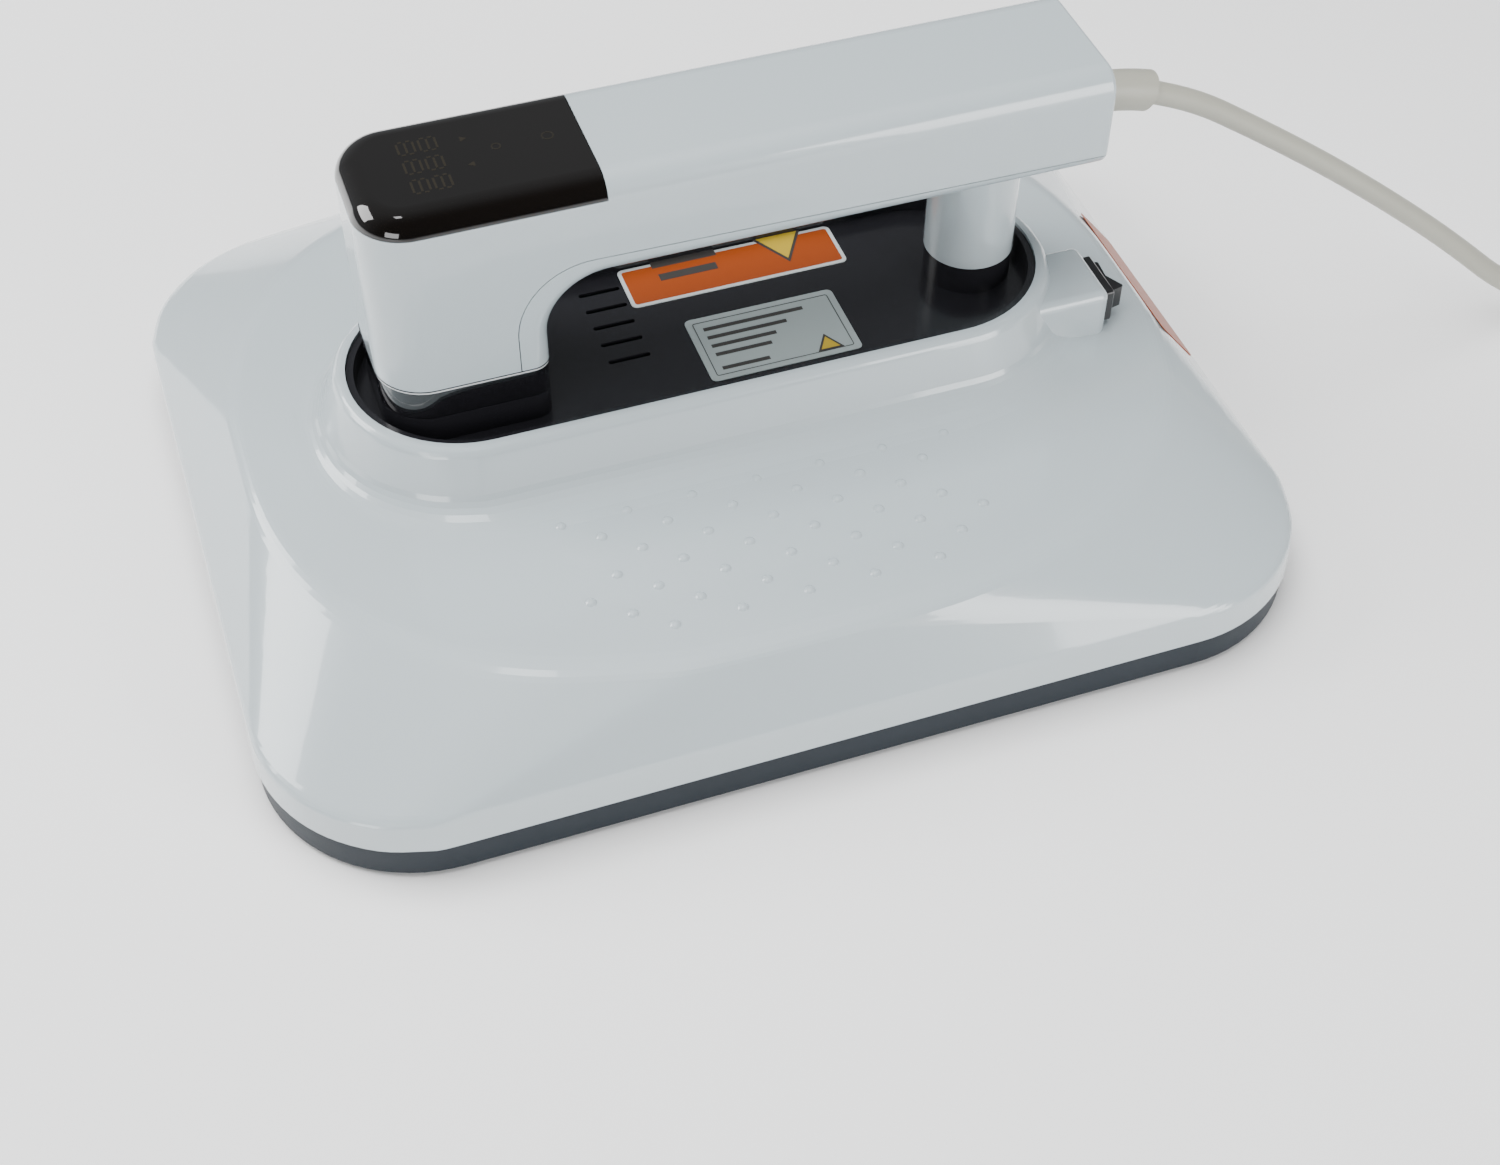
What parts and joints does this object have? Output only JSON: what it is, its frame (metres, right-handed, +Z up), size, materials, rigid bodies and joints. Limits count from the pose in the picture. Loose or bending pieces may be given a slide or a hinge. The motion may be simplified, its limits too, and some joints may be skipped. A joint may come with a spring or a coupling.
{
  "type": "hand-held heat press",
  "caption": "Hand-held heat press: rounded white housing over a flat heating plate, grip bar on two legs, touch display, rocker switch and a mains cord with plug.",
  "frame": {"origin": "centre of the heating plate's working face, on the surface that the press stands on", "axes": "+Z up; +X along the grip bar from the display end to the cord end; +Y away from the side with the power switch"},
  "size_m": [0.6089, 0.3303, 0.1464],
  "materials": {
    "white_shell": "cool white gloss moulded plastic",
    "deck_black": "near black gloss moulded plastic",
    "skirt_dark": "dark blue-grey heat-proof plastic, satin",
    "display_dark": "dark smoked gloss cover",
    "switch_black": "black moulded plastic, fine grain",
    "cord_grey": "beige-grey flexible plastic sheath",
    "plug_grey": "beige-grey moulded plastic",
    "label_silver": "silver-grey printed sticker",
    "label_orange": "orange sticker with a white edge",
    "plate_aluminium": "dark grey non-stick coated aluminium",
    "steel": "zinc-plated steel",
    "brass": "plain brass",
    "felt": "off-white ceramic felt",
    "board_green": "green glass-fibre board",
    "component_dark": "dark moulded component case",
    "component_blue": "blue moulded component case",
    "tie_black": "woven black strap"
  },
  "bodies": {
    "root": {"heating_plate": "plate_aluminium", "heating_element": "steel", "element_clamps": "steel", "insulation_blanket": "felt", "heat_shield": "steel", "plate_screws": "steel", "temperature_sensor": "steel", "thermal_cutout": "component_dark", "base_skirt": "skirt_dark", "shell_screws": "steel", "top_shell": "white_shell", "shell_collar": "white_shell", "inner_deck": "deck_black", "deck_rim": "deck_black", "deck_pedestals": "deck_black", "deck_screws": "steel", "rear_label": "label_orange", "spec_label": "label_silver", "caution_label": "label_orange", "power_board": "board_green", "board_screws": "steel", "relay": "component_blue", "transformer": "component_dark", "capacitors": "component_dark", "terminal_block": "component_blue", "heater_leads": "steel", "column_ring": "white_shell", "column_foot": "deck_black", "rear_post": "white_shell", "handle_screws": "steel", "cover_screws": "steel", "handle_shell": "white_shell", "handle_under_cover": "white_shell", "display_cover": "display_dark", "display_board": "board_green", "digit_display": "component_dark", "touch_springs": "steel", "display_screws": "steel", "buzzer": "component_dark", "display_ribbon": "cord_grey", "mains_lead": "cord_grey", "cord_clamp": "switch_black", "switch_body": "switch_black", "switch_terminals": "brass", "strain_relief": "cord_grey", "power_cord": "cord_grey", "cord_coil": "cord_grey", "cord_tie": "tie_black", "plug_body": "plug_grey", "plug_blades": "brass"},
    "rocker": {"rocker": "switch_black"}
  },
  "joints": [
    {"name": "power_switch", "type": "hinge", "parent": "root", "child": "rocker", "pos_m": [0.13285, -0.0195, 0.057], "axis": [0, 0, 1], "range_deg": [-24, 0]}
  ]
}
